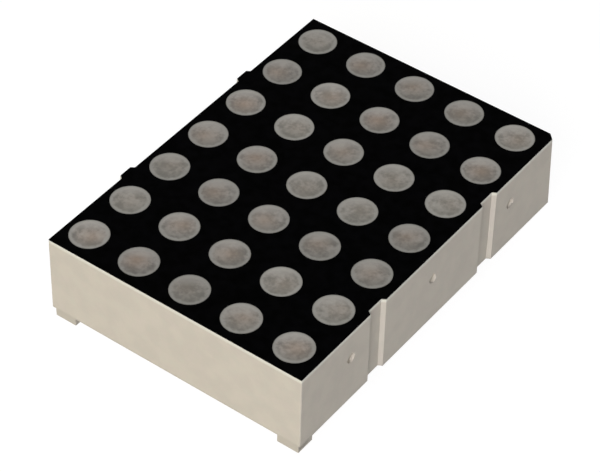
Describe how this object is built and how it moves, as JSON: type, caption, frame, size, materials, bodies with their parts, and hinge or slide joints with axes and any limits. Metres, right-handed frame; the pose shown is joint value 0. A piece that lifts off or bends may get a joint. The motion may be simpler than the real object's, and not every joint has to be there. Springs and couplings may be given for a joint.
{
  "type": "led dot matrix",
  "caption": "Flat rectangular LED display module: a black face with a grid of round diffused dots in a beige moulded case, on two rows of round pins.",
  "frame": {"origin": "middle of the pin pattern, which is the middle of the dots, on the seating plane under the feet", "axes": "+Z out of the viewing face, +Y along the long side towards the first row of dots, +X towards the notched side"},
  "size_m": [0.0381, 0.0528, 0.0164],
  "materials": {
    "case_plastic": "warm off-white moulded plastic, fine satin surface",
    "face_black": "flat black coat",
    "lens_resin": "grey-brown diffused resin, lighter at the rim",
    "board_laminate": "green solder mask on glass laminate",
    "potting_resin": "milky cast resin",
    "chip_semiconductor": "bare semiconductor chip",
    "solder": "dull solder",
    "pin_metal": "tinned wire"
  },
  "bodies": {
    "root": {"reflector_case": "case_plastic", "face_film": "face_black", "circuit_board": "board_laminate", "back_seal": "potting_resin", "solder_joints": "solder", "led_chips_r1": "chip_semiconductor", "led_chips_r2": "chip_semiconductor", "led_chips_r3": "chip_semiconductor", "led_chips_r4": "chip_semiconductor", "led_chips_r5": "chip_semiconductor", "led_chips_r6": "chip_semiconductor", "led_chips_r7": "chip_semiconductor", "lens_r1_c1": "lens_resin", "lens_r1_c2": "lens_resin", "lens_r1_c3": "lens_resin", "lens_r1_c4": "lens_resin", "lens_r1_c5": "lens_resin", "lens_r2_c1": "lens_resin", "lens_r2_c2": "lens_resin", "lens_r2_c3": "lens_resin", "lens_r2_c4": "lens_resin", "lens_r2_c5": "lens_resin", "lens_r3_c1": "lens_resin", "lens_r3_c2": "lens_resin", "lens_r3_c3": "lens_resin", "lens_r3_c4": "lens_resin", "lens_r3_c5": "lens_resin", "lens_r4_c1": "lens_resin", "lens_r4_c2": "lens_resin", "lens_r4_c3": "lens_resin", "lens_r4_c4": "lens_resin", "lens_r4_c5": "lens_resin", "lens_r5_c1": "lens_resin", "lens_r5_c2": "lens_resin", "lens_r5_c3": "lens_resin", "lens_r5_c4": "lens_resin", "lens_r5_c5": "lens_resin", "lens_r6_c1": "lens_resin", "lens_r6_c2": "lens_resin", "lens_r6_c3": "lens_resin", "lens_r6_c4": "lens_resin", "lens_r6_c5": "lens_resin", "lens_r7_c1": "lens_resin", "lens_r7_c2": "lens_resin", "lens_r7_c3": "lens_resin", "lens_r7_c4": "lens_resin", "lens_r7_c5": "lens_resin", "pin_1": "pin_metal", "pin_2": "pin_metal", "pin_3": "pin_metal", "pin_4": "pin_metal", "pin_5": "pin_metal", "pin_6": "pin_metal", "pin_7": "pin_metal", "pin_8": "pin_metal", "pin_9": "pin_metal", "pin_10": "pin_metal", "pin_11": "pin_metal", "pin_12": "pin_metal"}
  },
  "joints": []
}
